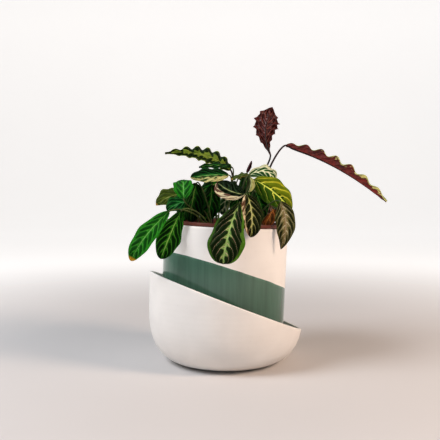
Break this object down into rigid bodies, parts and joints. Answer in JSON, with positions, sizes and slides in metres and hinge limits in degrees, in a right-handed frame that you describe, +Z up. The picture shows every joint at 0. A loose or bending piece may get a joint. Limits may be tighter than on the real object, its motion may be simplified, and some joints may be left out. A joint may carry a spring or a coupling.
{
  "type": "potted prayer plant",
  "caption": "Prayer plant with patterned and waved leaves in a nursery pot, set in a glazed pot inside a bowl with a slanted rim.",
  "frame": {"origin": "middle of the bowl's flat foot, on the surface that it stands on", "axes": "+Z up, +X towards the low side of the bowl's rim, -Y towards the viewer of the picture"},
  "size_m": [0.3934, 0.3, 0.4],
  "materials": {
    "bowl": "satin",
    "inner_pot": "gloss",
    "nursery_pot": "matt",
    "soil": "matt",
    "leaf_left_front": "satin",
    "leaf_left_front_inner": "satin",
    "leaf_left_olive": "satin",
    "leaf_left_small": "satin",
    "leaf_left_teal": "satin",
    "leaf_left_hanging": "satin",
    "leaf_left_hanging_back": "satin",
    "leaf_top_level": "satin",
    "leaf_top_thin": "satin",
    "leaf_waved_left": "satin",
    "leaf_middle_pale_band": "satin",
    "leaf_front_big": "satin",
    "leaf_front_dark": "satin",
    "leaf_right_yellow": "satin",
    "leaf_right_hanging": "satin",
    "leaf_top_arch": "satin",
    "leaf_middle_olive": "satin",
    "leaf_pale_curled": "satin",
    "leaf_new_rolled": "satin",
    "leaf_middle_dark": "satin",
    "leaf_middle_left_dark": "satin",
    "leaf_waved_upright": "satin",
    "leaf_waved_long": "satin",
    "leaf_right_low_purple": "satin",
    "leaf_back_left": "satin",
    "leaf_back_left_hanging": "satin",
    "leaf_back_hanging": "satin",
    "leaf_back_right_hanging": "satin",
    "leaf_back_right": "satin",
    "leaf_back_side_hanging": "satin",
    "leaf_back_top": "satin",
    "leaf_back_middle": "satin",
    "leaf_waved_back": "satin",
    "leaf_inner_striped": "satin",
    "leaf_inner_middle_dark": "satin",
    "leaf_inner_right_dark": "satin",
    "leaf_left_low_dark": "satin",
    "leaf_back_inner": "satin"
  },
  "bodies": {
    "root": {"bowl": "bowl", "inner_pot": "inner_pot", "nursery_pot": "nursery_pot", "soil": "soil", "leaf_left_front": "leaf_left_front", "leaf_left_front_inner": "leaf_left_front_inner", "leaf_left_olive": "leaf_left_olive", "leaf_left_small": "leaf_left_small", "leaf_left_teal": "leaf_left_teal", "leaf_left_hanging": "leaf_left_hanging", "leaf_left_hanging_back": "leaf_left_hanging_back", "leaf_top_level": "leaf_top_level", "leaf_top_thin": "leaf_top_thin", "leaf_waved_left": "leaf_waved_left", "leaf_middle_pale_band": "leaf_middle_pale_band", "leaf_front_big": "leaf_front_big", "leaf_front_dark": "leaf_front_dark", "leaf_right_yellow": "leaf_right_yellow", "leaf_right_hanging": "leaf_right_hanging", "leaf_top_arch": "leaf_top_arch", "leaf_middle_olive": "leaf_middle_olive", "leaf_pale_curled": "leaf_pale_curled", "leaf_new_rolled": "leaf_new_rolled", "leaf_middle_dark": "leaf_middle_dark", "leaf_middle_left_dark": "leaf_middle_left_dark", "leaf_waved_upright": "leaf_waved_upright", "leaf_waved_long": "leaf_waved_long", "leaf_right_low_purple": "leaf_right_low_purple", "leaf_back_left": "leaf_back_left", "leaf_back_left_hanging": "leaf_back_left_hanging", "leaf_back_hanging": "leaf_back_hanging", "leaf_back_right_hanging": "leaf_back_right_hanging", "leaf_back_right": "leaf_back_right", "leaf_back_side_hanging": "leaf_back_side_hanging", "leaf_back_top": "leaf_back_top", "leaf_back_middle": "leaf_back_middle", "leaf_waved_back": "leaf_waved_back", "leaf_inner_striped": "leaf_inner_striped", "leaf_inner_middle_dark": "leaf_inner_middle_dark", "leaf_inner_right_dark": "leaf_inner_right_dark", "leaf_left_low_dark": "leaf_left_low_dark", "leaf_back_inner": "leaf_back_inner"}
  },
  "joints": []
}
